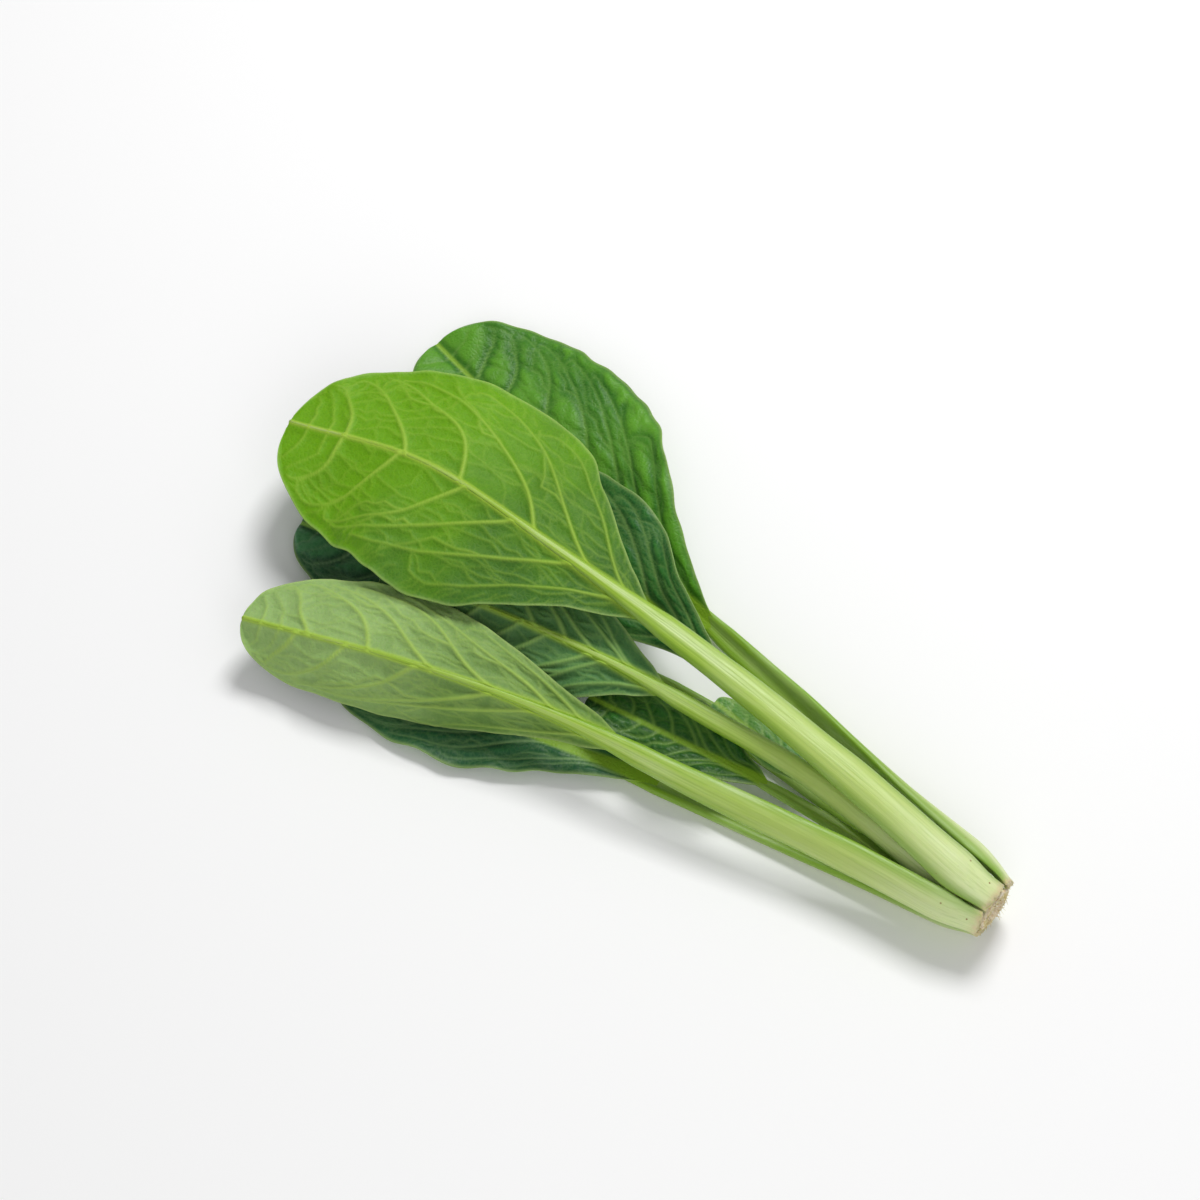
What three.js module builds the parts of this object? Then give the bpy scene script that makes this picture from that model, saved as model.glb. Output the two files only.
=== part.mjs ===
// One head of komatsuna (Japanese mustard spinach), cut at the root and lying on its side.
// Five outer leaves, three inner ones and the heart leaf stand round a short crown. Each leaf
// is a fleshy stem, which runs on under its blade as the midrib, and a thin blade.
// +Z is up, the leaves reach towards -X from the cut face, and the part rests on Z = 0.
import * as THREE from "three";

// Driving dimensions, in millimetres and degrees.
const AXIS_HEIGHT = 13.8; // height of the crown's axis above the table
const CROWN_RADIUS = 7.4;
const CROWN_LENGTH = 11;
const CROWN_SIDES = 24;
const BLADE_THICKNESS = 0.9;
const BLADE_GAP = 0.35; // clear of the midrib that it lies on
const BLADE_WING = 1.2; // how far the blade stands proud of the stem where it begins
const BLADE_END = 0.999; // share of the blade's length where its rounded end closes
const MIDRIB_TIP = 0.9; // width and thickness of the midrib at the leaf's tip
const MIDRIB_TAPER = 3; // how fast the midrib thins beyond the neck
const ROUNDNESS = 2.2; // how blunt the blade's tip is: 2 is an ellipse, more is blunter
const STEM_SIDES = 10;
const STEM_STEPS = 22;
const BLADE_STEPS = 14;
const BLADE_COLUMNS = 10;
const REST_HEIGHT = 1; // middle of a blade that is pressed flat on the table
const REST_SOFTNESS = 2; // how gently a blade bends onto the table

// The rings in which the stems stand round the crown: where a stem begins behind the cut
// face, its distance from the axis there and once it has settled, and its size.
const RINGS = {
  outer: { start: 1.5, startRadius: 9.4, radius: 12.5, width: 14.8, thickness: 5.6 },
  inner: { start: 12.5, startRadius: 5.6, radius: 6, width: 9, thickness: 3.6 },
  heart: { start: 12.5, startRadius: 0, radius: 0, width: 5, thickness: 3 },
};
const SETTLED = 14; // distance from its start to where a stem has its ring's radius
const BASE_SHARE = 0.06; // share of a leaf's length over which its stem thickens

// Each leaf: its ring and the angle at which it stands there, the points that its midrib
// passes through, and the direction that its underside faces at the base, the neck and the
// tip. Angles turn round the X axis, with 0 along +Y and 90 up. Then the stem's size at the
// neck, where the blade begins, and the blade: half widths, folds at the midrib and curls
// towards the margin, each for the far and the near side of a leaf that faces up.
const LEAVES = [
  {
    name: "top",
    ring: "outer",
    angle: 95,
    reach: [[-60, 3, 31.5], [-120, 7, 35.5], [-185, 8, 40], [-240, 8, 39.5], [-291, -3, 31]],
    facing: [95, 92, 97],
    neck: { at: 0.47, width: 9, thickness: 6 },
    blade: {
      halves: [43, 42], widest: [0.5, 0.54], folds: [5, 3], curls: [14, 12],
      ruffle: 2, waves: 2.5, phase: 0.3,
    },
  },
  {
    name: "near",
    ring: "outer",
    angle: 165,
    reach: [[-50, -16, 17.5], [-99, -25, 20], [-151, -35, 24], [-201, -50, 26], [-256, -68, 21]],
    facing: [165, 125, 106],
    neck: { at: 0.46, width: 8, thickness: 5.4 },
    blade: {
      halves: [27, 23], widest: [0.66, 0.6], folds: [8, 12], curls: [30, 52],
      ruffle: 1.5, waves: 2, phase: 1.5,
    },
  },
  {
    name: "middle",
    ring: "inner",
    angle: 128,
    reach: [[-72, -2, 23.5], [-112, -5, 24.5], [-151, -9, 25.5], [-198, -18, 25], [-230, -27, 22.5]],
    facing: [128, 112, 102],
    neck: { at: 0.5, width: 6, thickness: 4 },
    blade: {
      halves: [28, 30], widest: [0.58, 0.58], folds: [5, 4], curls: [10, 14],
      ruffle: 1.5, waves: 3, phase: 0,
    },
  },
  {
    name: "small",
    ring: "inner",
    angle: 228,
    reach: [[-58, -6, 12], [-82, -8, 13], [-107, -12, 14], [-129, -15, 14], [-149, -18, 13.8]],
    facing: [228, 250, 262],
    neck: { at: 0.5, width: 5, thickness: 3.4 },
    blade: {
      halves: [13, 15], widest: [0.5, 0.5], folds: [-2, 16], curls: [-20, 10],
      ruffle: 1.2, waves: 4, phase: 0,
    },
  },
  {
    name: "lower",
    ring: "outer",
    angle: 308,
    reach: [[-55, 7, 2.5], [-110, 7, 2.2], [-162, 3, 2.6], [-215, -6, 3], [-274, -20, 3]],
    facing: [308, 278, 270],
    neck: { at: 0.48, width: 8, thickness: 5 },
    blade: {
      halves: [27, 32], widest: [0.6, 0.6], folds: [3, 8], curls: [-10, -14],
      ruffle: 1.5, waves: 3, phase: 2,
    },
  },
  {
    name: "under",
    ring: "outer",
    angle: 236,
    reach: [[-55, -13, 2.4], [-110, -24, 2.2], [-150, -34, 2.6], [-188, -45, 3], [-226, -56, 3]],
    facing: [236, 262, 272],
    neck: { at: 0.5, width: 7, thickness: 5 },
    blade: {
      halves: [20, 16], widest: [0.6, 0.6], folds: [3, 2], curls: [-8, -4],
      ruffle: 1, waves: 3, phase: 1,
    },
  },
  {
    name: "far",
    ring: "outer",
    angle: 20,
    reach: [[-55, 18, 12], [-95, 25, 9.5], [-140, 34, 6], [-215, 52, 5], [-286, 68, 4]],
    facing: [20, -50, -80],
    neck: { at: 0.45, width: 8, thickness: 5 },
    blade: {
      halves: [34, 38], widest: [0.52, 0.56], folds: [14, 8], curls: [8, -22],
      ruffle: 2, waves: 3, phase: 0,
    },
  },
  {
    name: "inner",
    ring: "inner",
    angle: 20,
    reach: [[-60, 8, 17.5], [-110, 14, 19], [-150, 20, 19.5], [-190, 26, 19.5], [-226, 31, 17.5]],
    facing: [20, -40, -76],
    neck: { at: 0.48, width: 6, thickness: 4 },
    blade: {
      halves: [22, 24], widest: [0.58, 0.55], folds: [6, 6], curls: [6, -10],
      ruffle: 1.5, waves: 3, phase: 1,
    },
  },
  {
    name: "heart",
    ring: "heart",
    angle: 0,
    reach: [[-40, 0, 15], [-62, 1, 16], [-80, 2, 16.5], [-98, 3, 17], [-114, 4, 17.5]],
    facing: [300, 280, 265],
    neck: { at: 0.5, width: 3.4, thickness: 2.4 },
    blade: {
      halves: [7, 7], widest: [0.5, 0.5], folds: [8, 8], curls: [0, 10],
      ruffle: 0.6, waves: 4, phase: 0,
    },
  },
];

const rad = THREE.MathUtils.degToRad;
const mix = THREE.MathUtils.lerp;
const smooth = (t) => THREE.MathUtils.smoothstep(t, 0, 1);

// A point at a distance from the crown's axis, in the direction of an angle round it.
function aroundAxis(x, radius, angle) {
  return new THREE.Vector3(x, radius * Math.cos(angle), AXIS_HEIGHT + radius * Math.sin(angle));
}

// The curve of a leaf's stem and midrib, from the crown to the leaf's tip.
function spineOf(leaf) {
  const ring = RINGS[leaf.ring];
  const angle = rad(leaf.angle);
  return new THREE.CatmullRomCurve3(
    [
      aroundAxis(-ring.start, ring.startRadius, angle),
      aroundAxis(-ring.start - SETTLED, ring.radius, angle),
      ...leaf.reach.map((point) => new THREE.Vector3(...point)),
    ],
    false,
    "catmullrom",
  );
}

// The place and directions of a leaf's section at a share of its length: along the spine,
// out of its underside, and to the side.
function frameAt(leaf, spine, share) {
  const [base, neck, tip] = leaf.facing;
  const facing = rad(
    base +
      (neck - base) * smooth(share / leaf.neck.at) +
      (tip - neck) * smooth((share - leaf.neck.at) / (1 - leaf.neck.at)),
  );
  const along = spine.getTangentAt(share);
  const out = new THREE.Vector3(0, Math.cos(facing), Math.sin(facing));
  out.addScaledVector(along, -out.dot(along)).normalize();
  const side = new THREE.Vector3().crossVectors(along, out);
  return { point: spine.getPointAt(share), along, out, side };
}

// The width and thickness of the stem, and how much it bends round the crown's axis.
function stemSize(leaf, share) {
  const ring = RINGS[leaf.ring];
  const { at, width, thickness } = leaf.neck;
  if (share > at) {
    const left = Math.exp((-MIDRIB_TAPER * (share - at)) / (1 - at)) * (1 - (share - at) / (1 - at));
    return {
      width: mix(MIDRIB_TIP, width, left),
      thickness: mix(MIDRIB_TIP, thickness, left),
      bend: 0,
    };
  }
  const rise = share / at;
  const begun = smooth(share / BASE_SHARE);
  return {
    width: mix(ring.width, width, rise) * mix(0.74, 1, begun),
    thickness: mix(ring.thickness, thickness, rise) * mix(0.5, 1, begun),
    bend: ring.radius > 0 ? mix(0.5 / ring.radius, 0, smooth(rise)) : 0,
  };
}

// The blade's half width, 0 to 1: it widens gently from the neck and ends blunt.
function outline(u, widest) {
  if (u < widest) return smooth(u / widest);
  return (1 - ((u - widest) / (1 - widest)) ** ROUNDNESS) ** (1 / ROUNDNESS);
}

// A point of the blade's middle surface. u runs from the neck to the tip, and v from -1 at
// one margin to 1 at the other.
function bladePoint(leaf, spine, u, v) {
  const share = mix(leaf.neck.at, 1, u);
  const { point, out, side } = frameAt(leaf, spine, share);
  const stem = stemSize(leaf, share);
  const { halves, widest, folds, curls, ruffle, waves, phase } = leaf.blade;
  const which = v > 0 ? 0 : 1;
  const open = outline(u, widest[which]);
  const atNeck = stem.width / 2 + BLADE_WING;
  const half = mix(atNeck, halves[which], open);
  const reach = Math.abs(v) * half;
  const fold = rad(folds[which]);
  const turn = rad(curls[which]) * open;
  const bend = turn / half;
  const across =
    Math.abs(turn) < 1e-4 ? reach * Math.cos(fold) : (Math.sin(fold + bend * reach) - Math.sin(fold)) / bend;
  const inward =
    Math.abs(turn) < 1e-4 ? reach * Math.sin(fold) : (Math.cos(fold) - Math.cos(fold + bend * reach)) / bend;
  const wave = ruffle * open * v * v * Math.sin(2 * Math.PI * waves * u + phase + which);
  const lift = stem.thickness / 2 + BLADE_GAP + BLADE_THICKNESS / 2 + inward + wave;
  return point.addScaledVector(side, Math.sign(v) * across).addScaledVector(out, -lift);
}

// A blade's height, kept above the table without a crease.
function restOnTable(z) {
  const over = (z - REST_HEIGHT) / REST_SOFTNESS;
  return REST_HEIGHT + REST_SOFTNESS * (over > 20 ? over : Math.log1p(Math.exp(over)));
}

// Moves every vertex of a three.js geometry to where place(x, y, z) puts it.
function shaped(geometry, place) {
  const position = geometry.getAttribute("position");
  for (let i = 0; i < position.count; i++) {
    const p = place(position.getX(i), position.getY(i), position.getZ(i));
    position.setXYZ(i, p.x, p.y, p.z);
  }
  geometry.computeVertexNormals();
  return geometry;
}

// The stem and midrib: a cylinder drawn out along the spine, with a bent oval section. What
// would reach below the table is pressed flat on it.
function stemGeometry(leaf, spine) {
  return shaped(new THREE.CylinderGeometry(1, 1, 1, STEM_SIDES, STEM_STEPS), (x, y, z) => {
    const share = y + 0.5;
    const { point, out, side } = frameAt(leaf, spine, share);
    const { width, thickness, bend } = stemSize(leaf, share);
    const across = (x * width) / 2;
    point.addScaledVector(side, across);
    point.addScaledVector(out, (z * thickness) / 2 - bend * across * across);
    point.z = Math.max(point.z, 0);
    return point;
  });
}

// The blade: a thin box laid along the midrib's inner side.
function bladeGeometry(leaf, spine) {
  const resting = (u, v) => {
    const p = bladePoint(leaf, spine, u, v);
    p.z = restOnTable(p.z);
    return p;
  };
  const step = 1e-3;
  return shaped(new THREE.BoxGeometry(2, 1, 1, BLADE_COLUMNS, 1, BLADE_STEPS), (x, y, z) => {
    const u = BLADE_END * Math.sin((Math.PI / 2) * (z + 0.5));
    const p = resting(u, x);
    const along = resting(u + step, x).sub(resting(u - step, x));
    const across = resting(u, x + step).sub(resting(u, x - step));
    const outwards = along.cross(across).normalize();
    return p.addScaledVector(outwards, y * BLADE_THICKNESS);
  });
}

// The crown: a short stub with a flat cut face and a blunt growing end inside the leaves.
function crownGeometry() {
  const profile = [
    [0, 0],
    [CROWN_RADIUS - 0.6, 0],
    [CROWN_RADIUS, -1],
    [CROWN_RADIUS, -0.5 * CROWN_LENGTH],
    [0.7 * CROWN_RADIUS, -0.85 * CROWN_LENGTH],
    [0, -CROWN_LENGTH],
  ];
  const points = profile.map(([radius, height]) => new THREE.Vector2(radius, height)).reverse();
  return new THREE.LatheGeometry(points, CROWN_SIDES).rotateZ(-Math.PI / 2);
}

const stemMaterial = new THREE.MeshStandardMaterial({ color: 0xb9d184, roughness: 0.45 });
const bladeMaterial = new THREE.MeshStandardMaterial({ color: 0x4f8a32, roughness: 0.55 });
const crownMaterial = new THREE.MeshStandardMaterial({ color: 0xd8cfa0, roughness: 0.85 });

function mesh(name, geometry, material) {
  const made = new THREE.Mesh(geometry, material);
  made.name = name;
  return made;
}

const head = new THREE.Group();
const crown = mesh("crown", crownGeometry(), crownMaterial);
crown.position.z = AXIS_HEIGHT;
head.add(crown);
for (const leaf of LEAVES) {
  const spine = spineOf(leaf);
  head.add(mesh(`stem_${leaf.name}`, stemGeometry(leaf, spine), stemMaterial));
  head.add(mesh(`blade_${leaf.name}`, bladeGeometry(leaf, spine), bladeMaterial));
}

// The origin is under the middle of the head, on the table.
const box = new THREE.Box3().setFromObject(head, true);
head.position.set(-(box.min.x + box.max.x) / 2, -(box.min.y + box.max.y) / 2, -box.min.z);

const komatsuna = new THREE.Group();
komatsuna.add(head);
export default komatsuna;
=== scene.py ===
"""One head of komatsuna: its leaves, stems and cut crown, modelled in full on the CAD frame.

Each leaf is a stem, which runs on under its blade as the midrib, and a thin blade with its own
network of veins. Lengths are in millimetres and angles in degrees until a mesh is made.
"""

import math

import bpy
import numpy as np
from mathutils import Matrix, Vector


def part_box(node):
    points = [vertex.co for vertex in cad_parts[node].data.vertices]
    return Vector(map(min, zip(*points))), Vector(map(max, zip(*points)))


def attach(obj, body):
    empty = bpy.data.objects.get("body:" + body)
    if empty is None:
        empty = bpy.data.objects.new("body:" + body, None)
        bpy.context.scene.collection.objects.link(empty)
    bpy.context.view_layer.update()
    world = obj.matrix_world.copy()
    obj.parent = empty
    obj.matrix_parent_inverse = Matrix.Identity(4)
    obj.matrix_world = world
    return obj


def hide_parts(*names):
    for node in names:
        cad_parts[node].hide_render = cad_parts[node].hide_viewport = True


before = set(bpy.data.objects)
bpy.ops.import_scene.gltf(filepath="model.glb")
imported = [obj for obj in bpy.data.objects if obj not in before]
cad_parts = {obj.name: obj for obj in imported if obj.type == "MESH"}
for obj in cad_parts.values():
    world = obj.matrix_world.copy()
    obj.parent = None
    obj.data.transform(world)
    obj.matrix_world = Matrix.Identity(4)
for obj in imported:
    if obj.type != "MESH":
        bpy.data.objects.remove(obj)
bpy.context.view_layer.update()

# The head's frame, as the CAD model has it: the cut face at x = 0, leaves towards -x.
MM = 0.001
AXIS_HEIGHT = 13.8
CROWN_RADIUS = 7.4
CROWN_LENGTH = 11
RINGS = {
    "outer": {"start": 1.5, "start_radius": 9.4, "radius": 12.5, "width": 14.8, "thickness": 5.6},
    "inner": {"start": 12.5, "start_radius": 5.6, "radius": 6, "width": 9, "thickness": 3.6},
    "heart": {"start": 12.5, "start_radius": 0, "radius": 0, "width": 5, "thickness": 3},
}
SETTLED = 14
BASE_SHARE = 0.06
MIDRIB_TIP = 0.9
MIDRIB_TAPER = 3
BLADE_WING = 1.2
ROUNDNESS = 2.2
REST_HEIGHT = 1
REST_SOFTNESS = 2

# How the blades are finished.
SHEET_THICKNESS = 0.55
SHEET_MARGIN = 0.3
SEAT = 0.8  # how deep in the midrib's inner side the sheet lies, as a share of its half thickness
EMERGE = 0.13  # share of the blade's length over which the sheet comes out of the stem
BLADE_END = 0.99995
TIP_START = 0.95  # from here the rows of the sheet close up towards the tip
TIP_ROWS = 28
SPREAD = 3.2  # how far a main vein pulls the sheet down beside it
NET_SPREAD = 1.4

# Each leaf as in the CAD model, then its looks: colours of the underside from neck to tip, its own
# tone with painted shade darkening the neck and painted light brightening the tip as if shining
# through it; of the upper side, with painted shade in its hollows and a painted highlight on its
# domes; and of the veins; how many side veins each half has; how high the veins stand and how
# much the blade swells between them.
LEAVES = {
    "top": {
        "ring": "outer", "angle": 95, "facing": (95, 92, 97), "neck": (0.47, 9, 6),
        "reach": [(-60, 3, 31.5), (-120, 7, 35.5), (-185, 8, 40), (-240, 8, 39.5), (-291, -3, 31)],
        "halves": (43, 42), "widest": (0.5, 0.54), "folds": (5, 3), "curls": (14, 12),
        "ruffle": 2, "waves": 2.5, "phase": 0.3,
        "under": ("3d6a20", "68a000"), "upper": ("2c6426", "4f8f2f"), "vein": "9fc044",
        "side_veins": 6, "relief": 0.9, "swell": 0.55, "size": (240, 204),
    },
    "near": {
        "ring": "outer", "angle": 165, "facing": (165, 125, 106), "neck": (0.46, 8, 5.4),
        "reach": [(-50, -16, 17.5), (-99, -25, 20), (-151, -35, 24), (-201, -50, 26), (-256, -68, 21)],
        "halves": (27, 23), "widest": (0.66, 0.6), "folds": (8, 12), "curls": (30, 52),
        "ruffle": 1.5, "waves": 2, "phase": 1.5,
        "under": ("5a8034", "92b26a"), "upper": ("235a22", "3c7a2c"), "vein": "a6c456",
        "side_veins": 6, "relief": 1.1, "swell": 0.85, "size": (190, 160),
    },
    "middle": {
        "ring": "inner", "angle": 128, "facing": (128, 112, 102), "neck": (0.5, 6, 4),
        "reach": [(-72, -2, 23.5), (-112, -5, 24.5), (-151, -9, 25.5), (-198, -18, 25), (-230, -27, 22.5)],
        "halves": (28, 30), "widest": (0.58, 0.58), "folds": (5, 4), "curls": (10, 14),
        "ruffle": 1.5, "waves": 3, "phase": 0,
        "under": ("477640", "56834a"), "upper": ("1f5226", "377534"), "vein": "8fb45c",
        "side_veins": 8, "relief": 1.3, "swell": 1.1, "size": (160, 140),
    },
    "small": {
        "ring": "inner", "angle": 228, "facing": (228, 250, 262), "neck": (0.5, 5, 3.4),
        "reach": [(-58, -6, 12), (-82, -8, 13), (-107, -12, 14), (-129, -15, 14), (-149, -18, 13.8)],
        "halves": (13, 15), "widest": (0.5, 0.5), "folds": (-2, 16), "curls": (-20, 10),
        "ruffle": 1.2, "waves": 4, "phase": 0,
        "under": ("4d7f45", "5f9150"), "upper": ("1d4e16", "2f6a22"), "vein": "82a84c",
        "side_veins": 8, "relief": 0.9, "swell": 1.3, "size": (150, 100),
    },
    "lower": {
        "ring": "outer", "angle": 308, "facing": (308, 278, 270), "neck": (0.48, 8, 5),
        "reach": [(-55, 7, 2.5), (-110, 7, 2.2), (-162, 3, 2.6), (-215, -6, 3), (-274, -20, 3)],
        "halves": (27, 32), "widest": (0.6, 0.6), "folds": (3, 8), "curls": (-10, -14),
        "ruffle": 1.5, "waves": 3, "phase": 2,
        "under": ("5c8f50", "77a860"), "upper": ("1f4c2e", "4b8556"), "vein": "a3c492",
        "side_veins": 8, "relief": 0.8, "swell": 1.9, "size": (160, 136),
    },
    "under": {
        "ring": "outer", "angle": 236, "facing": (236, 262, 272), "neck": (0.5, 7, 5),
        "reach": [(-55, -13, 2.4), (-110, -24, 2.2), (-150, -34, 2.6), (-188, -45, 3), (-226, -56, 3)],
        "halves": (20, 16), "widest": (0.6, 0.6), "folds": (3, 2), "curls": (-8, -4),
        "ruffle": 1, "waves": 3, "phase": 1,
        "under": ("5c8f50", "77a860"), "upper": ("1e5230", "357040"), "vein": "98bd78",
        "side_veins": 7, "relief": 0.7, "swell": 1.1, "size": (140, 100),
    },
    "far": {
        "ring": "outer", "angle": 20, "facing": (20, -50, -80), "neck": (0.45, 8, 5),
        "reach": [(-55, 18, 12), (-95, 25, 9.5), (-140, 34, 6), (-215, 52, 5), (-286, 68, 4)],
        "halves": (34, 38), "widest": (0.52, 0.56), "folds": (14, 8), "curls": (8, -22),
        "ruffle": 2, "waves": 3, "phase": 0,
        "under": ("5d9040", "80b04a"), "upper": ("2f6c18", "5c9a26"), "vein": "8db85a",
        "side_veins": 7, "relief": 0.8, "swell": 1.1, "size": (190, 150),
    },
    "inner": {
        "ring": "inner", "angle": 20, "facing": (20, -40, -76), "neck": (0.48, 6, 4),
        "reach": [(-60, 8, 17.5), (-110, 14, 19), (-150, 20, 19.5), (-190, 26, 19.5), (-226, 31, 17.5)],
        "halves": (22, 24), "widest": (0.58, 0.55), "folds": (6, 6), "curls": (6, -10),
        "ruffle": 1.5, "waves": 3, "phase": 1,
        "under": ("588c48", "6f9f56"), "upper": ("215a26", "39782f"), "vein": "9cc06c",
        "side_veins": 7, "relief": 0.7, "swell": 1.1, "size": (140, 110),
    },
    "heart": {
        "ring": "heart", "angle": 0, "facing": (300, 280, 265), "neck": (0.5, 3.4, 2.4),
        "reach": [(-40, 0, 15), (-62, 1, 16), (-80, 2, 16.5), (-98, 3, 17), (-114, 4, 17.5)],
        "halves": (7, 7), "widest": (0.5, 0.5), "folds": (8, 8), "curls": (0, 10),
        "ruffle": 0.6, "waves": 4, "phase": 0,
        "under": ("7aa552", "8fb860"), "upper": ("3c7a2c", "5c963a"), "vein": "b0cc7c",
        "side_veins": 7, "relief": 0.5, "swell": 0.6, "size": (90, 60),
    },
}

crown_low, crown_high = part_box("crown")
SHIFT = np.array([
    crown_high[0] / MM,
    (crown_low[1] + crown_high[1]) / 2 / MM,
    (crown_low[2] + crown_high[2]) / 2 / MM - AXIS_HEIGHT,
])


def mix(a, b, t):
    return a + (b - a) * t


def smooth(t):
    t = np.clip(t, 0, 1)
    return t * t * (3 - 2 * t)


def unit(v):
    return v / np.linalg.norm(v, axis=-1, keepdims=True)


def waves(rng, x, y, wavelength, count=7):
    """A gentle random swell over a plane, mostly between -1 and 1."""
    total = 0
    for angle in rng.uniform(0, 2 * np.pi, count):
        k = 2 * np.pi / (wavelength * rng.uniform(0.75, 1.5))
        total = total + np.sin(k * (x * np.cos(angle) + y * np.sin(angle)) + rng.uniform(0, 2 * np.pi))
    return total / math.sqrt(count)


def around_axis(x, radius, angle):
    return (x, radius * math.cos(angle), AXIS_HEIGHT + radius * math.sin(angle))


class Leaf:
    """The curve, sections and sheet of one leaf, as the CAD model has them."""

    def __init__(self, name, facts):
        self.name = name
        self.__dict__.update(facts)
        self.rng = np.random.default_rng(sorted(LEAVES).index(name) + 11)
        self.at, self.neck_width, self.neck_thickness = facts["neck"]
        self.ring = RINGS[facts["ring"]]
        angle = math.radians(self.angle)
        start = -self.ring["start"]
        points = [
            around_axis(start, self.ring["start_radius"], angle),
            around_axis(start - SETTLED, self.ring["radius"], angle),
            *self.reach,
        ]
        self.curve, self.share, self.length = catmull_rom(points)
        self.slope = np.gradient(self.curve, self.share, axis=0)

    def frames(self, share):
        """Places along the spine, and there the directions along it, out and to the side."""
        base, neck, tip = self.facing
        turn = base + (neck - base) * smooth(share / self.at)
        turn = np.radians(turn + (tip - neck) * smooth((share - self.at) / (1 - self.at)))
        point = np.stack([np.interp(share, self.share, c) for c in self.curve.T], -1)
        along = unit(np.stack([np.interp(share, self.share, c) for c in self.slope.T], -1))
        out = np.stack([np.zeros_like(turn), np.cos(turn), np.sin(turn)], -1)
        out = unit(out - along * (out * along).sum(-1, keepdims=True))
        return point, along, out, np.cross(along, out)

    def stem_size(self, share):
        """The stem's width and thickness, and how much it bends round the crown's axis."""
        gone = np.clip((share - self.at) / (1 - self.at), 0, 1)
        left = np.exp(-MIDRIB_TAPER * gone) * (1 - gone)
        rise = np.clip(share / self.at, 0, 1)
        begun = smooth(share / BASE_SHARE)
        width = mix(self.ring["width"], self.neck_width, rise) * mix(0.74, 1, begun)
        thickness = mix(self.ring["thickness"], self.neck_thickness, rise) * mix(0.5, 1, begun)
        width = np.where(share > self.at, mix(MIDRIB_TIP, self.neck_width, left), width)
        thickness = np.where(share > self.at, mix(MIDRIB_TIP, self.neck_thickness, left), thickness)
        radius = self.ring["radius"]
        bend = mix(0.5 / radius, 0, smooth(rise)) if radius else np.zeros_like(share)
        return width, thickness, bend

    def half_width(self, u, which):
        """How far the blade reaches from the midrib on one side."""
        widest = np.array(self.widest)[which]
        grown = smooth(u / widest)
        gone = np.clip((u - widest) / (1 - widest), 0, 1)
        closed = (1 - gone**ROUNDNESS) ** (1 / ROUNDNESS)
        share = mix(self.at, 1, u)
        stem = self.stem_size(share)[0] / 2
        opened = np.where(u < widest, grown, closed)
        start = mix(0.8 * stem, stem + BLADE_WING, smooth(u / EMERGE))
        return mix(start, np.array(self.halves)[which], opened), opened

    def plane(self, u, v):
        """Where a point of the blade lies when the blade is pressed flat."""
        which = np.where(v > 0, 0, 1)
        return u * self.blade_length, v * self.half_width(u, which)[0]

    @property
    def blade_length(self):
        return (1 - self.at) * self.length


def catmull_rom(points, steps=80):
    """The curve through the points, each place's share of its length, and the length."""
    p = np.array(points, float)
    p = np.vstack([2 * p[0] - p[1], p, 2 * p[-1] - p[-2]])
    t = np.linspace(0, 1, steps, endpoint=False)[:, None]
    spans = []
    for a, b, c, d in zip(p, p[1:], p[2:], p[3:]):
        leave, arrive = (c - a) / 2, (d - b) / 2
        spans.append(
            b + leave * t + (3 * (c - b) - 2 * leave - arrive) * t**2
            + (2 * (b - c) + leave + arrive) * t**3
        )
    curve = np.vstack([*spans, p[-2:-1]])
    gone = np.concatenate([[0], np.cumsum(np.linalg.norm(np.diff(curve, axis=0), axis=1))])
    return curve, gone / gone[-1], gone[-1]


# The veins: each is a line in the flattened blade, with its strength from 0 to 1 at both ends.


def along_line(line, t):
    """A point at a share of a line's points."""
    place = t * (len(line) - 1)
    i = min(int(place), len(line) - 2)
    return mix(line[i], line[i + 1], place - i)


def wandering(rng, start, end, bow, steps=6):
    """A line between two points that bows to one side and wanders a little."""
    t = np.linspace(0, 1, steps)[:, None]
    across = np.array([start[1] - end[1], end[0] - start[0]])
    drift = bow * np.sin(np.pi * t) + rng.normal(0, 0.035, (steps, 1)) * np.sin(np.pi * t) ** 0.5
    return mix(np.array(start), np.array(end), t) + across * drift


def side_veins(leaf, side):
    """The main side veins of one half, which sweep from the midrib towards the tip."""
    rng, count = leaf.rng, leaf.side_veins
    starts = 0.015 + 0.83 * np.linspace(0, 1, count) ** 0.96 + rng.normal(0, 0.014, count)
    veins = []
    for u0 in np.clip(starts + (0.035 if side < 0 else 0), 0.015, 0.86):
        forward = mix(0.4, 0.68, smooth(u0 / 0.3)) * (0.985 - u0) * rng.uniform(0.92, 1.08)
        t = np.linspace(0, 1, 20)
        u = u0 + forward * (0.62 * t + 0.38 * t**2)
        v = side * 0.86 * (1 - (1 - t) ** 1.22)
        x, y = leaf.plane(u, v)
        wander = rng.normal(0, 1, 4)
        ease = np.sin(np.pi * t) ** 0.8
        y = y + side * ease * (0.8 * wander[0] + 1.1 * wander[1] * np.sin(2 * np.pi * t + wander[3]))
        x = x + ease * (0.9 * wander[2] + 0.7 * np.sin(7 * t + wander[0] * 3))
        veins.append(np.stack([x, y], -1))
    return veins


def outer_branch(leaf, low, vein, side, t):
    """A branch on a side vein's outer side, which ends between its end and the next one's."""
    start = along_line(vein, t)
    end = mix(low[-1], vein[-1], leaf.rng.uniform(0.3, 0.6))
    return wandering(leaf.rng, start, end, -0.1 * side, 9)


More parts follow.
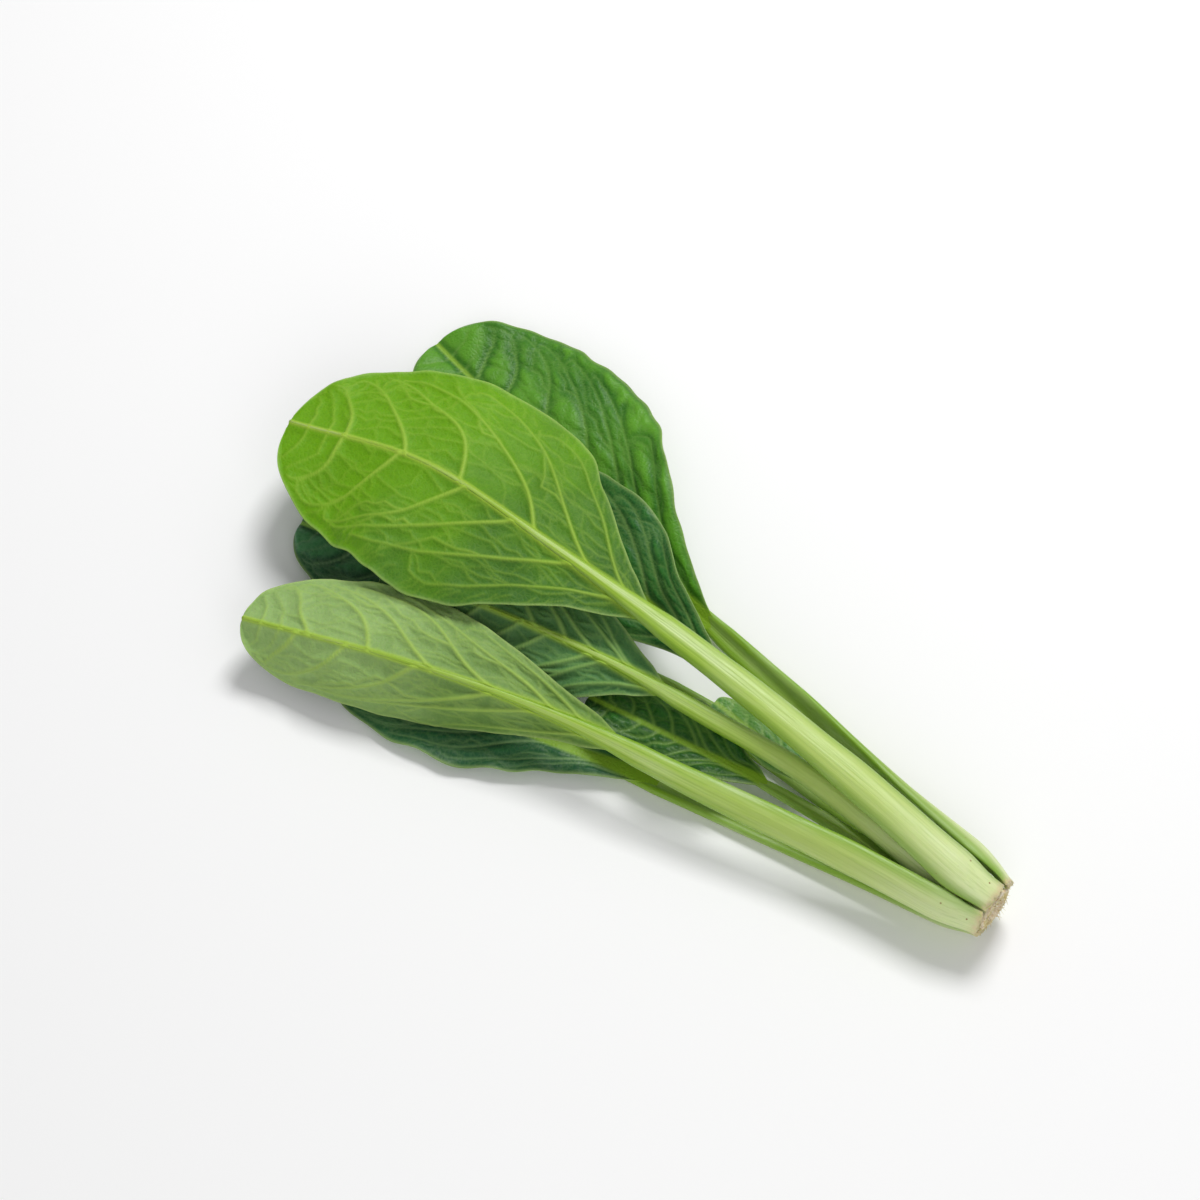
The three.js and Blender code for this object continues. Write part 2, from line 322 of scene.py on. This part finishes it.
def vein_lines(leaf):
    """All the veins of a blade: (points, strength at the start, at the end, rank)."""
    rng, lines = leaf.rng, []
    scale = min(1, max(leaf.halves) / 28)
    for side in (1, -1):
        veins = side_veins(leaf, side)
        for vein in veins:
            lines.append((vein, 1, 0.36, 2))
            for t in rng.uniform(0.2, 0.85, 3):
                start = along_line(vein, t)
                ahead = unit(along_line(vein, min(t + 0.05, 1)) - start)
                turn = rng.choice([-1, 1]) * rng.uniform(0.5, 0.9)
                cosine, sine = math.cos(turn), math.sin(turn)
                spin = np.array([[cosine, -sine], [sine, cosine]])
                end = start + spin @ ahead * rng.uniform(5, 11) * scale
                lines.append((wandering(rng, start, end, rng.uniform(-0.12, 0.12)), 0.3, 0.08, 3))
        for u0 in (0.9, 0.95):
            start = leaf.plane(u0, 0.02 * side)
            end = leaf.plane(mix(u0, 0.99, 0.6), side * 0.8)
            lines.append((wandering(rng, start, end, 0.1 * side, 6), 0.5, 0.2, 3))
        for low, high in zip(veins, veins[1:]):
            branch = outer_branch(leaf, low, high, side, rng.uniform(0.4, 0.66))
            lines.append((branch, 0.55, 0.28, 2))
            reached = rng.uniform(0.7, 0.82)
            loop = wandering(rng, low[-1], along_line(high, reached), 0.22 * side, 8)
            lines.append((loop, 0.34, 0.3, 2))
            gap = np.linalg.norm(low[9] - high[7])
            rungs = int(np.clip(np.linalg.norm(low[-1] - low[0]) / (4.6 * scale), 3, 9))
            for k in range(rungs):
                t = (k + 0.6) / rungs + rng.normal(0, 0.03)
                start = along_line(low, np.clip(t, 0.04, 0.97))
                end = along_line(high, np.clip(t - 0.05 + rng.normal(0, 0.07), 0.03, reached))
                rung = wandering(rng, start, end, rng.uniform(-0.2, 0.2), 7)
                lines.append((rung, 0.26, 0.22, 3))
                if k and gap > 7:
                    other = along_line(last, rng.uniform(0.35, 0.65))
                    here = along_line(rung, rng.uniform(0.35, 0.65))
                    link = wandering(rng, other, here, rng.uniform(-0.2, 0.2), 5)
                    lines.append((link, 0.16, 0.16, 3))
                last = rung
        for u in np.linspace(0.12, 0.97, 26) + rng.normal(0, 0.01, 26):
            x0, y0 = leaf.plane(np.clip(u, 0, 0.985), side * 0.84)
            x1, y1 = leaf.plane(np.clip(u + 0.03, 0, 0.99), side * 0.975)
            short = wandering(rng, (x0, y0), (x1, y1), rng.uniform(-0.2, 0.2), 4)
            lines.append((short, 0.2, 0.06, 3))
    return lines


def vein_fields(x, y, lines):
    """How strongly veins mark each point, how high they lift it, and how far the nearest are."""
    mark, lift = np.zeros_like(x), np.zeros_like(x)
    main, any_vein = np.full_like(x, 40.0), np.full_like(x, 40.0)
    for points, first, last, rank in lines:
        strength = np.linspace(first, last, len(points))
        for a, b, s in zip(points, points[1:], strength):
            low, high = np.minimum(a, b) - 9, np.maximum(a, b) + 9
            near = np.flatnonzero((x > low[0]) & (x < high[0]) & (y > low[1]) & (y < high[1]))
            if not len(near):
                continue
            px, py = x[near] - a[0], y[near] - a[1]
            span = b - a
            t = np.clip((px * span[0] + py * span[1]) / max(span @ span, 1e-9), 0, 1)
            d = np.hypot(px - t * span[0], py - t * span[1])
            radius = 0.42 + 0.3 * s * s
            mark[near] = np.maximum(mark[near], s * np.exp(-((d / radius) ** 2)))
            lift[near] = np.maximum(lift[near], s * np.exp(-((d / (radius + 0.2)) ** 2)))
            any_vein[near] = np.minimum(any_vein[near], d)
            if rank == 2:
                main[near] = np.minimum(main[near], d)
    return mark, lift, main, any_vein


# Meshes.


def add_piece(name, vertices, faces, attributes):
    """A Blender mesh from points of the head's frame, with its per-vertex values."""
    mesh = bpy.data.meshes.new(name)
    mesh.from_pydata(((vertices + SHIFT) * MM).tolist(), [], faces)
    for key, values in attributes.items():
        kind, field = ("FLOAT", "value") if values.ndim == 1 else ("FLOAT_VECTOR", "vector")
        layer = mesh.attributes.new(key, kind, "POINT")
        layer.data.foreach_set(field, np.ascontiguousarray(values, np.float32).ravel())
    mesh.shade_smooth()
    mesh.update()
    piece = bpy.data.objects.new(name, mesh)
    bpy.context.scene.collection.objects.link(piece)
    return piece


def sheet_faces(rows, columns):
    """Quads of a closed sheet: one grid, the other grid turned over, and the strip between."""
    grid = np.arange(rows * columns).reshape(rows, columns)
    back = grid + rows * columns
    quads = [
        np.stack([grid[:-1, :-1], grid[:-1, 1:], grid[1:, 1:], grid[1:, :-1]], -1).reshape(-1, 4),
        np.stack([back[:-1, :-1], back[1:, :-1], back[1:, 1:], back[:-1, 1:]], -1).reshape(-1, 4),
    ]
    rim = np.concatenate([grid[0, :-1], grid[:-1, -1], grid[-1, :0:-1], grid[:0:-1, 0]])
    ahead = np.roll(rim, -1)
    offset = rows * columns
    quads.append(np.stack([ahead, rim, rim + offset, ahead + offset], -1))
    return np.concatenate(quads).tolist()


def blade_piece(leaf):
    rows, columns = leaf.size
    rounding = np.sin(np.linspace(0, np.pi / 2, TIP_ROWS + 1))[1:]
    u = np.concatenate([np.linspace(0, TIP_START, rows - TIP_ROWS), mix(TIP_START, BLADE_END, rounding)])
    u = u[:, None] * np.ones((1, columns))
    v = np.linspace(-1, 1, columns)[None, :] * np.ones((rows, 1))
    which = np.where(v > 0, 0, 1)
    share = mix(leaf.at, 1, u)
    point, _, out, side = leaf.frames(share)
    width, thickness, _ = leaf.stem_size(share)
    half, opened = leaf.half_width(u, which)
    half = half * mix(0.45, 1, smooth(u / EMERGE))
    rng = leaf.rng
    x, y = u * leaf.blade_length, v * half

    reach = np.abs(y) * (1 + 0.017 * waves(rng, x, 0 * x, 14) * np.abs(v) ** 3)
    fold = np.radians(np.array(leaf.folds, float)[which])
    turn = np.radians(np.array(leaf.curls, float)[which]) * opened
    turn = np.where(np.abs(turn) < 1e-4, 1e-4, turn)
    bend = turn / half
    across = (np.sin(fold + bend * reach) - np.sin(fold)) / bend
    inward = (np.cos(fold) - np.cos(fold + bend * reach)) / bend
    ruffle = leaf.ruffle * opened * v * v * np.sin(2 * np.pi * leaf.waves * u + leaf.phase + which)

    stem_edge = np.abs(y) - width / 2
    calm = smooth(u / 0.3) * smooth(stem_edge / 8)
    swell = 0.7 * calm * waves(rng, x, y, 38) + 0.45 * calm * v**2 * waves(rng, x, y, 13)
    mark, ridge, main, net = vein_fields(x.ravel(), y.ravel(), vein_lines(leaf))
    mark, ridge, main, net = (f.reshape(x.shape) for f in (mark, ridge, main, net))
    main = np.minimum(main, np.maximum(stem_edge, 0))
    free = smooth(stem_edge / 3) * smooth((1 - np.abs(v)) * half / 3)
    dome = (1 - np.exp(-((main / SPREAD) ** 2))) + 0.45 * (1 - np.exp(-((net / NET_SPREAD) ** 2)))
    swell = swell + leaf.swell * free * dome * 0.8

    seat = SEAT * smooth(u / EMERGE) * thickness / 2
    lift = seat + inward + ruffle + swell
    middle = point + side * (np.sign(v) * across)[..., None] - out * lift[..., None]
    over = (middle[..., 2] - REST_HEIGHT) / REST_SOFTNESS
    middle[..., 2] = REST_HEIGHT + REST_SOFTNESS * np.logaddexp(0, over)

    inner = unit(np.cross(np.gradient(middle, axis=0), np.gradient(middle, axis=1)))
    inner = inner * np.sign(-(inner * out).sum(-1, keepdims=True))
    body = mix(SHEET_MARGIN, SHEET_THICKNESS, smooth((1 - np.abs(v)) * half / 6)) / 2
    fillet = SEAT * thickness / 2 * np.exp(-(np.maximum(stem_edge, 0) / (0.22 * width + 0.2)) ** 1.3)
    fillet = fillet * smooth(u / (2 * EMERGE))
    stand = leaf.relief * ridge * smooth(stem_edge / 1 + 1)
    below = middle - inner * (body + fillet + 0.75 * stand)[..., None]
    above = middle + inner * (body - 0.35 * stand)[..., None]
    above[..., 2] = np.maximum(above[..., 2], 0.35)
    below[..., 2] = np.maximum(below[..., 2], 0.05)

    rib = np.exp(-(np.maximum(stem_edge + 0.15 * width, 0) / (0.16 * width + 0.5)) ** 2)
    margin = np.exp(-(((1 - np.abs(v)) * half) / 0.8) ** 2) * smooth(u / 0.1)
    count = rows * columns

    def both(field):
        return np.concatenate([field.ravel(), field.ravel()])

    attributes = {
        "leaf": np.stack([both(x), both(y), np.zeros(2 * count)], -1),
        "vein": both(mark),
        "rib": both(rib),
        "margin": both(margin),
        "dome": both(free * dome),
        "tipward": both(u),
        "farther": both(v),
        "underside": np.concatenate([np.ones(count), np.zeros(count)]),
    }
    vertices = np.concatenate([below.reshape(-1, 3), above.reshape(-1, 3)])
    faces = sheet_faces(rows, columns)
    return add_piece("leaf_blade_" + leaf.name, vertices, faces, attributes)


def stem_piece(leaf, steps=150, sides=36):
    share = np.linspace(0, 1, steps)
    point, _, out, side = leaf.frames(share)
    width, thickness, bend = leaf.stem_size(share)
    theta = np.linspace(0, 2 * np.pi, sides, endpoint=False)
    cosine, sine = np.cos(theta), np.sin(theta)
    rng = leaf.rng
    in_blade = smooth((share - leaf.at) / 0.1)
    channel = (0.5 * smooth(share / 0.2) * (1 - in_blade))[:, None]
    ribs = 0.5 + 0.5 * np.cos(2 * np.pi * (cosine * 3.2 + 0.5 * np.sin(3 * cosine)))
    rib_height = (mix(0.03, 0.09, smooth(share / leaf.at)) * (1 - 0.6 * in_blade))[:, None]
    outer = np.clip(sine, 0, 1) ** 0.92 * (1 - rib_height * ribs[None, :] * np.abs(sine))
    inner = -(0.78 * np.clip(-sine, 0, 1) ** 0.7 - channel * np.exp(-((cosine / 0.5) ** 2)) * (sine < 0))
    shape = np.where(sine > 0, outer, inner)
    lengthwise = share[:, None] * leaf.length
    lumps = 1 + 0.02 * waves(rng, lengthwise + 0 * cosine, 7 * cosine[None, :] + 0 * lengthwise, 30)
    across = cosine[None, :] * (width / 2)[:, None] * lumps
    rise = shape * (thickness / 2)[:, None] * lumps - bend[:, None] * across**2
    vertices = point[:, None] + side[:, None] * across[..., None] + out[:, None] * rise[..., None]
    cut = np.exp(-(lengthwise / 1.6) ** 2)
    vertices[..., 0] += cut * (0.35 * waves(rng, 3 * cosine[None, :], 3 * sine[None, :], 1.6))
    vertices[..., 2] = np.maximum(vertices[..., 2], 0)

    rings = [mix(point[0], vertices[0], t) for t in (0.75, 0.5, 0.25)]
    for k, ring in enumerate(rings):
        ring[:, 0] += 0.25 * waves(rng, 2.2 * ring[:, 1], 2.2 * ring[:, 2], 2.5) + 0.2 * (k + 1)
    grid = np.concatenate([np.array(rings[::-1]), vertices])
    total = len(grid)
    index = np.arange(total * sides).reshape(total, sides)
    turned = np.roll(index, -1, axis=1)
    quads = np.stack([index[:-1], index[1:], turned[1:], turned[:-1]], -1).reshape(-1, 4).tolist()
    faces = quads + [index[0].tolist(), index[-1, ::-1].tolist()]
    everywhere = np.ones((steps, sides))

    def full(values):
        return np.concatenate([np.repeat(values[:1], 3, axis=0), values])

    attributes = {
        "rise": full((share / leaf.at)[:, None] * everywhere).ravel(),
        "cut": np.concatenate([np.ones((3, sides)), cut * everywhere]).ravel(),
        "outer": np.concatenate([np.zeros((3, sides)), smooth(sine + 0.3) * everywhere]).ravel(),
        "crest": full(np.abs(cosine) * everywhere).ravel(),
        "skin": np.stack([
            full(across).ravel(), full(rise).ravel(), full(lengthwise * everywhere).ravel(),
        ], -1),
    }
    return add_piece("leaf_stem_" + leaf.name, grid.reshape(-1, 3), faces, attributes)


FIBRES = 150


def crown_piece():
    """The cut stub: a torn, fibrous face with a raised rim, and a blunt end inside the leaves."""
    rng = np.random.default_rng(5)
    sides, face_rings, wall_rings = 144, 44, 16
    theta = np.linspace(0, 2 * np.pi, sides, endpoint=False)[None, :]
    rim = 1 + 0.03 * np.cos(2 * theta + 1) + 0.025 * np.sin(3 * theta) + 0.02 * np.cos(7 * theta)
    s = np.linspace(0.02, 1, face_rings)[:, None]
    y, z = s * rim * CROWN_RADIUS * np.cos(theta), s * rim * CROWN_RADIUS * np.sin(theta)
    torn = 0.35 * waves(rng, y, z, 4) + 0.25 * waves(rng, y, z, 1.7) + 0.22 * np.abs(waves(rng, y, z, 0.9))
    x = -0.6 + torn * smooth(2.2 * (1.02 - s)) + 0.25 * np.exp(-(((s - 0.82) / 0.1) ** 2))
    face = np.stack([x + 0 * theta, y, z + AXIS_HEIGHT], -1)
    t = np.linspace(0, 1, wall_rings + 1)[1:, None]
    radius = CROWN_RADIUS * rim * mix(1, 0.15, smooth((t - 0.35) / 0.65) ** 1.2)
    wall = np.stack([
        -1 - (CROWN_LENGTH - 1.2) * t + 0 * theta, radius * np.cos(theta),
        radius * np.sin(theta) + AXIS_HEIGHT,
    ], -1)
    grid = np.concatenate([face, wall])
    index = np.arange(len(grid) * sides).reshape(len(grid), sides)
    turned = np.roll(index, -1, axis=1)
    quads = np.stack([index[:-1], index[1:], turned[1:], turned[:-1]], -1).reshape(-1, 4).tolist()
    faces = quads + [index[0].tolist(), index[-1, ::-1].tolist()]
    vertices = [grid.reshape(-1, 3)]
    depth = [np.concatenate([s * np.ones((1, sides)), 1 + t * np.ones((1, sides))]).ravel()]
    count = grid.shape[0] * sides
    for _ in range(FIBRES):
        spot, angle = math.sqrt(rng.uniform(0.1, 1)) * 0.97, rng.uniform(0, 2 * np.pi)
        root = np.array(around_axis(-0.7, spot * CROWN_RADIUS, angle))
        lean = np.array([rng.uniform(0.2, 0.9), rng.normal(0, 1), rng.normal(0, 1)])
        strand, tris = fibre(rng, root, unit(lean) * rng.uniform(1.0, 2.4))
        vertices.append(strand)
        faces += [[i + count for i in tri] for tri in tris]
        depth.append(np.full(len(strand), spot))
        count += len(strand)
    vertices = np.concatenate(vertices)
    depth = np.concatenate(depth)
    return add_piece("crown_stub", vertices, faces, {"depth": depth, "torn": vertices})


def fibre(rng, root, reach):
    """A torn fibre: a thin tapering strand with four sides."""
    across = unit(np.cross(reach, rng.normal(0, 1, 3)))
    up = unit(np.cross(reach, across))
    width = rng.uniform(0.1, 0.22)
    droop = rng.normal(0, 0.3, 3)
    vertices = []
    for t in (0, 0.5, 1):
        centre = root + reach * t + droop * t * t
        for a in range(4):
            turn = a * np.pi / 2
            vertices.append(centre + width * (1 - 0.85 * t) * (across * np.cos(turn) + up * np.sin(turn)))
    tris = [[3, 2, 1, 0], [8, 9, 10, 11]]
    for ring in (0, 4):
        for a in range(4):
            b = (a + 1) % 4
            tris.append([ring + a, ring + b, ring + b + 4, ring + a + 4])
    return np.array(vertices), tris


# Materials.


def colour(text):
    """A hex colour as linear numbers."""
    values = [int(text[i:i + 2], 16) / 255 for i in (0, 2, 4)]
    return (*[v / 12.92 if v <= 0.04045 else ((v + 0.055) / 1.055) ** 2.4 for v in values], 1)


class Graph:
    """Short names for the nodes that the materials are made of."""

    def __init__(self, name):
        self.material = bpy.data.materials.new(name)
        self.material.use_nodes = True
        self.tree = self.material.node_tree
        self.shader = self.tree.nodes["Principled BSDF"]

    def put(self, socket, value):
        if isinstance(value, bpy.types.NodeSocket):
            self.tree.links.new(value, socket)
        else:
            socket.default_value = value

    def attribute(self, name, output="Fac"):
        node = self.tree.nodes.new("ShaderNodeAttribute")
        node.attribute_name = name
        return node.outputs[output]

    def maths(self, operation, a, b=0.0, c=0.0, clamp=False):
        node = self.tree.nodes.new("ShaderNodeMath")
        node.operation, node.use_clamp = operation, clamp
        for socket, value in zip(node.inputs, (a, b, c)):
            self.put(socket, value)
        return node.outputs[0]

    def scaled(self, vector, factors):
        node = self.tree.nodes.new("ShaderNodeVectorMath")
        node.operation = "MULTIPLY"
        self.put(node.inputs[0], vector)
        node.inputs[1].default_value = factors
        return node.outputs[0]

    def noise(self, vector, scale, detail=3.0, roughness=0.55):
        node = self.tree.nodes.new("ShaderNodeTexNoise")
        self.put(node.inputs["Vector"], vector)
        node.inputs["Scale"].default_value = scale
        node.inputs["Detail"].default_value = detail
        node.inputs["Roughness"].default_value = roughness
        return node.outputs["Fac"]

    def cells(self, vector, scale, feature="DISTANCE_TO_EDGE"):
        node = self.tree.nodes.new("ShaderNodeTexVoronoi")
        node.feature = feature
        self.put(node.inputs["Vector"], vector)
        node.inputs["Scale"].default_value = scale
        return node.outputs["Distance"]

    def band(self, value, low, high, first=0.0, last=1.0):
        node = self.tree.nodes.new("ShaderNodeMapRange")
        node.interpolation_type = "SMOOTHSTEP"
        for socket, given in zip(node.inputs, (value, low, high, first, last)):
            self.put(socket, given)
        return node.outputs[0]

    def blend(self, factor, a, b, kind="MIX"):
        node = self.tree.nodes.new("ShaderNodeMix")
        node.data_type, node.blend_type = "RGBA", kind
        self.put(node.inputs["Factor"], factor)
        self.put(node.inputs[6], a)
        self.put(node.inputs[7], b)
        return node.outputs[2]

    def bump(self, height, distance, strength=1.0, normal=None):
        node = self.tree.nodes.new("ShaderNodeBump")
        self.put(node.inputs["Height"], height)
        node.inputs["Distance"].default_value = distance * MM
        node.inputs["Strength"].default_value = strength
        if normal is not None:
            self.put(node.inputs["Normal"], normal)
        return node.outputs[0]


STEM_FOOT = colour("d6e3a6")
STEM_BODY = colour("b8ce6e")
STEM_NECK = colour("9bbd38")
# The colour of the stem's grooves and streaks, also used as painted shade on its sides.
STEM_GROOVE_AND_SHADE = colour("78a214")
STEM_PALE = colour("cfdf96")
STEM_INNER = colour("7aa620")


def stem_tone(g, rise, vector):
    """The stem's colour from its pale foot to its greener neck, with fine lengthwise streaks."""
    tone = g.blend(g.band(rise, 0.0, 0.45), STEM_FOOT, STEM_BODY)
    tone = g.blend(g.band(rise, 0.35, 1.1), tone, STEM_NECK)
    streaks = g.noise(g.scaled(vector, (1, 1, 0.025)), 1.5, 3, 0.6)
    tone = g.blend(g.maths("MULTIPLY", g.band(streaks, 0.42, 0.75), 0.28), tone, STEM_GROOVE_AND_SHADE)
    return tone, streaks


def blade_material(leaf):
    g = Graph("leaf_" + leaf.name)
    plane = g.attribute("leaf", "Vector")
    tipward, farther = g.attribute("tipward"), g.attribute("farther")
    underside, dome = g.attribute("underside"), g.attribute("dome")
    broad = g.noise(plane, 0.035, 3)
    fine = g.noise(plane, 0.5, 4, 0.65)
    neck, tip = (colour(text) for text in leaf.under)
    shaded_hollow, crest = (colour(text) for text in leaf.upper)

    # Underside: the leaf's own tone from neck to tip, darkened at the neck with painted shade and
    # brightened towards the tip with painted light, as if light shone through it.
    drift = g.maths("ADD", tipward, g.maths("MULTIPLY_ADD", broad, 0.6, -0.3))
    # Painted shade: the half on the negative side of the midrib is made a little darker than the other
    # half.
    drift = g.maths("ADD", drift, g.maths("MULTIPLY", farther, 0.14))
    below = g.blend(g.band(drift, 0.1, 0.85), neck, tip)
    # Upper side: painted shade in the hollows by the veins and a painted highlight on the domes between
    # them.
    above = g.blend(g.band(dome, 0.1, 1.2), shaded_hollow, crest)
    # Painted sheen: broad random patches of the upper side are lightened towards the highlight colour.
    above = g.blend(g.band(broad, 0.35, 0.7, 0.0, 0.5), above, crest)
    tone = g.blend(underside, above, below)
    tone = g.blend(g.band(fine, 0.35, 0.75, 0.0, 0.14), tone, colour("1d4a18"))

    net = g.cells(plane, 0.62)
    net_line = g.band(net, 0.0, 0.16, 1.0, 0.0)
    tone = g.blend(g.maths("MULTIPLY", net_line, 0.06), tone, colour(leaf.vein))
    vein = g.maths("MULTIPLY", g.attribute("vein"), g.band(underside, 0.0, 1.0, 0.62, 0.85))
    tone = g.blend(vein, tone, colour(leaf.vein))
    margin = g.maths("MULTIPLY", g.attribute("margin"), 0.4)
    tone = g.blend(margin, tone, colour("b7cf7c"))
    length = g.maths("MULTIPLY_ADD", tipward, 0.5, 1.0)
    rib_tone, _ = stem_tone(g, length, plane)
    rib_tone = g.blend(g.band(tipward, 0.0, 0.8, 0.0, 0.55), rib_tone, colour(leaf.vein))
    rib_tone = g.blend(g.band(underside, 0.0, 1.0, 0.6, 0.0), rib_tone, STEM_INNER)
    tone = g.blend(g.attribute("rib"), tone, rib_tone)

    g.put(g.shader.inputs["Base Color"], tone)
    gloss = g.band(underside, 0.0, 1.0, 0.36, 0.5)
    g.put(g.shader.inputs["Roughness"], g.maths("MULTIPLY_ADD", fine, 0.16, gloss))
    pits = g.maths("SUBTRACT", g.band(net, 0.0, 0.3), g.maths("MULTIPLY", fine, 0.5))
    normal = g.bump(pits, 0.12, 0.5)
    g.put(g.shader.inputs["Normal"], normal)
    g.shader.inputs["Specular IOR Level"].default_value = 0.22
    soften(g, 0.12, (0.5, 1.0, 0.2), 1.2)
    return g.material


def soften(g, weight, radius, scale):
    """Light that goes a little way into the flesh and comes out again."""
    g.shader.inputs["Subsurface Weight"].default_value = weight
    g.shader.inputs["Subsurface Radius"].default_value = radius
    g.shader.inputs["Subsurface Scale"].default_value = scale * MM


def stem_material():
    g = Graph("stem_skin")
    skin = g.attribute("skin", "Vector")
    rise, outer = g.attribute("rise"), g.attribute("outer")
    tone, streaks = stem_tone(g, rise, skin)
    crest = g.attribute("crest")
    crown_line = g.maths("MULTIPLY", g.band(crest, 0.05, 0.5, 0.4, 0.0), g.band(rise, 0.6, 1.0))
    crown_line = g.maths("MULTIPLY", crown_line, g.band(rise, 1.2, 1.6, 1.0, 0.0))
    tone = g.blend(crown_line, tone, STEM_PALE)
    ridges = g.band(g.maths("SINE", g.maths("MULTIPLY", crest, 17.0)), 0.1, 1.0, 0.0, 0.38)
    tone = g.blend(g.maths("MULTIPLY", ridges, g.band(rise, 0.55, 1.0)), tone, STEM_GROOVE_AND_SHADE)
    # Painted shade: the stem's sides are darkened towards a deeper lime, as where light falls off round
    # them.
    shaded_flank = g.band(crest, 0.5, 1.0, 0.0, 0.75)
    tone = g.blend(shaded_flank, tone, STEM_GROOVE_AND_SHADE)
    tone = g.blend(g.maths("MULTIPLY", g.maths("SUBTRACT", 1.0, outer), 0.6), tone, STEM_INNER)
    cloudy = g.noise(g.scaled(skin, (1, 1, 0.12)), 0.25, 3)
    tone = g.blend(g.band(cloudy, 0.4, 0.8, 0.0, 0.3), tone, colour("d3dfae"))
    specks = g.band(g.cells(skin, 0.28, "F1"), 0.06, 0.12, 1.0, 0.0)
    specks = g.maths("MULTIPLY", specks, g.band(rise, 0.0, 0.3, 1.0, 0.0))
    specks = g.maths("MULTIPLY", specks, g.band(g.noise(skin, 0.2, 1), 0.47, 0.56))
    tone = g.blend(specks, tone, colour("8a6a34"))
    rough_end = g.noise(skin, 1.1, 4, 0.7)
    end = g.maths("MULTIPLY", g.attribute("cut"), g.band(rough_end, 0.25, 0.6, 0.45, 1.0), clamp=True)
    tone = g.blend(end, tone, colour("d9c79a"))
    g.put(g.shader.inputs["Base Color"], tone)
    g.put(g.shader.inputs["Roughness"], g.maths("MULTIPLY_ADD", streaks, 0.2, 0.3))
    height = g.maths("ADD", streaks, g.maths("MULTIPLY", g.attribute("cut"), rough_end))
    g.put(g.shader.inputs["Normal"], g.bump(height, 0.3, 0.5))
    g.shader.inputs["Specular IOR Level"].default_value = 0.5
    soften(g, 0.25, (0.7, 1.0, 0.3), 3.0)
    return g.material


def crown_material():
    g = Graph("cut_crown")
    torn, depth = g.attribute("torn", "Vector"), g.attribute("depth")
    grain = g.noise(torn, 0.9, 5, 0.7)
    tone = g.blend(g.band(grain, 0.3, 0.65), colour("cfae72"), colour("f4ead0"))
    ring = g.maths("MULTIPLY", g.band(depth, 0.5, 0.72), g.band(depth, 0.86, 0.98, 1.0, 0.0))
    tone = g.blend(g.maths("MULTIPLY", ring, 0.5), tone, colour("c9c06a"))
    specks = g.band(g.cells(torn, 0.8, "F1"), 0.12, 0.24, 1.0, 0.0)
    specks = g.maths("MULTIPLY", specks, g.band(g.noise(torn, 0.35, 2), 0.5, 0.62))
    tone = g.blend(specks, tone, colour("6b4a22"))
    tone = g.blend(g.band(depth, 1.02, 1.12), tone, colour("cdd99a"))
    g.put(g.shader.inputs["Base Color"], tone)
    g.shader.inputs["Roughness"].default_value = 0.8
    g.put(g.shader.inputs["Normal"], g.bump(grain, 0.6, 0.8))
    soften(g, 0.15, (1.0, 0.8, 0.4), 2.0)
    return g.material


# The head.


def build_head():
    skin = stem_material()
    for name, facts in LEAVES.items():
        leaf = Leaf(name, facts)
        stem = stem_piece(leaf)
        blade = blade_piece(leaf)
        for piece, node, slot, material in (
            (stem, "stem_" + name, "stem", skin),
            (blade, "blade_" + name, "blade", blade_material(leaf)),
        ):
            piece.data.materials.append(material)
            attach(piece, "root")
            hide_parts(node)
    crown = crown_piece()
    crown.data.materials.append(crown_material())
    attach(crown, "root")
    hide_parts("crown")


# The studio.

CAMERA_AZIMUTH = 38
CAMERA_ELEVATION = 58
CAMERA_LENS = 85
CAMERA_DISTANCE = 945
CAMERA_TARGET = (-167, 11, 20)
FLOOR_SIZE = 6000


def build_studio():
    mesh = bpy.data.meshes.new("floor")
    half = FLOOR_SIZE / 2 * MM
    corners = [(-half, -half, 0), (half, -half, 0), (half, half, 0), (-half, half, 0)]
    mesh.from_pydata(corners, [], [(0, 1, 2, 3)])
    floor = bpy.data.objects.new("floor", mesh)
    bpy.context.scene.collection.objects.link(floor)
    g = Graph("floor_paper")
    g.shader.inputs["Base Color"].default_value = (0.93, 0.93, 0.93, 1)
    g.shader.inputs["Roughness"].default_value = 0.9
    mesh.materials.append(g.material)

    world = bpy.data.worlds.new("studio")
    world.use_nodes = True
    world.node_tree.nodes["Background"].inputs["Color"].default_value = (1, 1, 1, 1)
    world.node_tree.nodes["Background"].inputs["Strength"].default_value = 0.36
    bpy.context.scene.world = world
    add_lamp("key", (-0.2, 0.75, 1.25), 0.5, 14.5)
    add_lamp("fill", (0.75, -0.7, 0.8), 1.0, 4.5)

    back = Vector((
        math.sin(math.radians(CAMERA_AZIMUTH)) * math.cos(math.radians(CAMERA_ELEVATION)),
        -math.cos(math.radians(CAMERA_AZIMUTH)) * math.cos(math.radians(CAMERA_ELEVATION)),
        math.sin(math.radians(CAMERA_ELEVATION)),
    ))
    target = Vector((SHIFT + np.array(CAMERA_TARGET)) * MM)
    data = bpy.data.cameras.new("camera")
    data.lens = CAMERA_LENS
    camera = bpy.data.objects.new("camera", data)
    camera.location = target + back * CAMERA_DISTANCE * MM
    camera.rotation_euler = (-back).to_track_quat("-Z", "Y").to_euler()
    bpy.context.scene.collection.objects.link(camera)
    bpy.context.scene.camera = camera
    bpy.context.scene.view_settings.view_transform = "Standard"


def add_lamp(name, place, size, power):
    """A soft square lamp that faces the head."""
    data = bpy.data.lights.new(name, "AREA")
    data.size, data.energy = size, power
    lamp = bpy.data.objects.new(name, data)
    lamp.location = place
    lamp.rotation_euler = (-Vector(place)).to_track_quat("-Z", "Y").to_euler()
    bpy.context.scene.collection.objects.link(lamp)


build_studio()
build_head()
